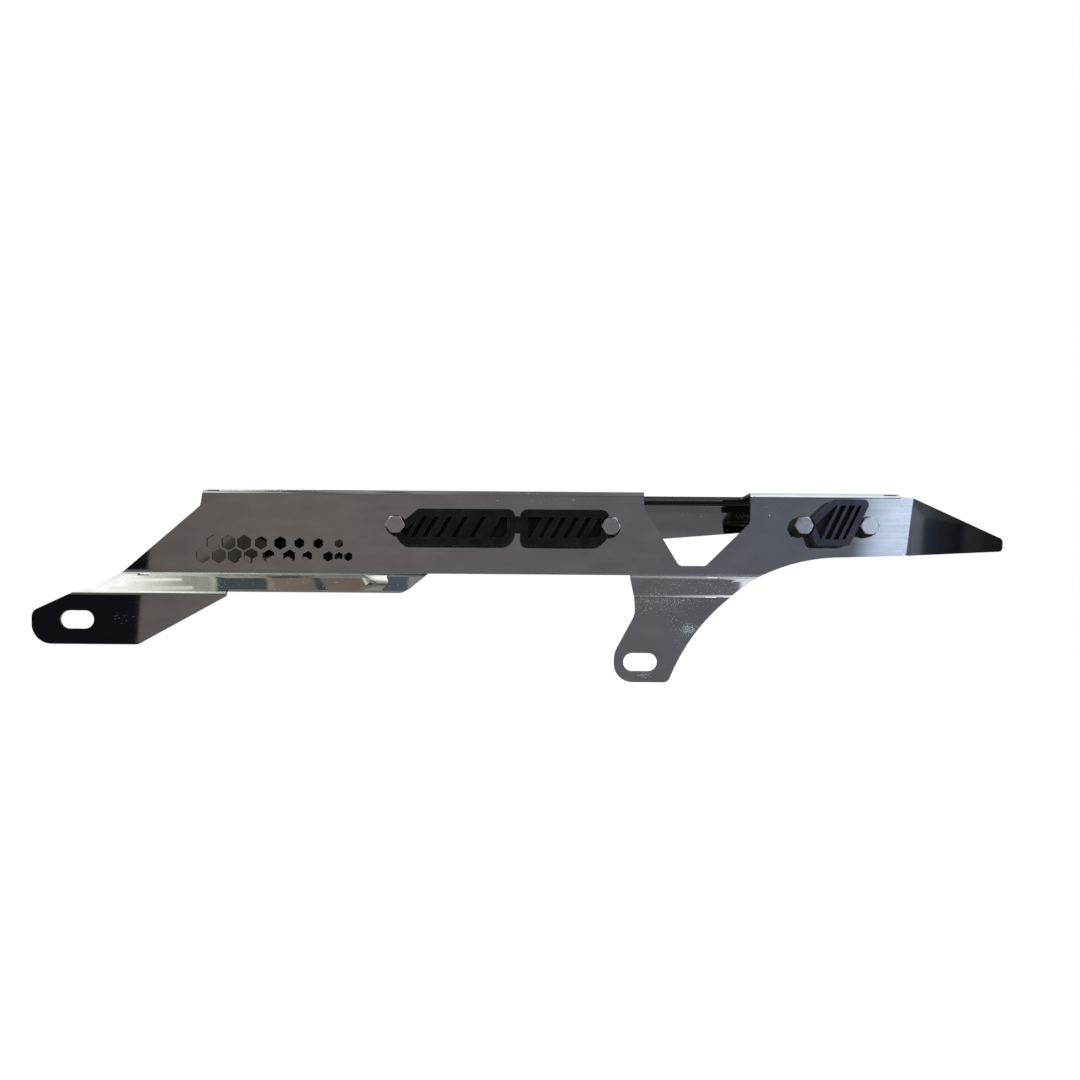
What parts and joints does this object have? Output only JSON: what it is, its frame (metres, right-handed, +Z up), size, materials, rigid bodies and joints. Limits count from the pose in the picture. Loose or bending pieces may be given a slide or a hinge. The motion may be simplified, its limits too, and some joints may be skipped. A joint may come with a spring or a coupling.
{
  "type": "motorcycle chain guard",
  "caption": "Folded stainless chain guard with a deep outer wall, slotted mounting tabs, a shock absorber opening, hexagon holes and bolted badges.",
  "frame": {"origin": "middle of the front mounting slot, on the tab's inboard face that bears on the swingarm", "axes": "+X to the rear of the motorcycle along the guard, +Y inboard towards the wheel, +Z up"},
  "size_m": [0.4707, 0.0397, 0.0908],
  "materials": {
    "stainless_sheet": "brushed along the length, scuffed",
    "stainless_screws": "plain turned",
    "badge_base_black": "satin black",
    "badge_face_black": "fine satin, blue-black"
  },
  "bodies": {
    "root": {"guard_shell": "stainless_sheet", "long_badge_base": "badge_base_black", "long_badge_face": "badge_face_black", "short_badge_base": "badge_base_black", "short_badge_face": "badge_face_black", "long_badge_front_bolt": "stainless_screws", "long_badge_front_washer": "stainless_screws", "long_badge_front_nut": "stainless_screws", "long_badge_rear_bolt": "stainless_screws", "long_badge_rear_washer": "stainless_screws", "long_badge_rear_nut": "stainless_screws", "short_badge_front_bolt": "stainless_screws", "short_badge_front_washer": "stainless_screws", "short_badge_front_nut": "stainless_screws", "short_badge_rear_bolt": "stainless_screws", "short_badge_rear_washer": "stainless_screws", "short_badge_rear_nut": "stainless_screws"}
  },
  "joints": []
}
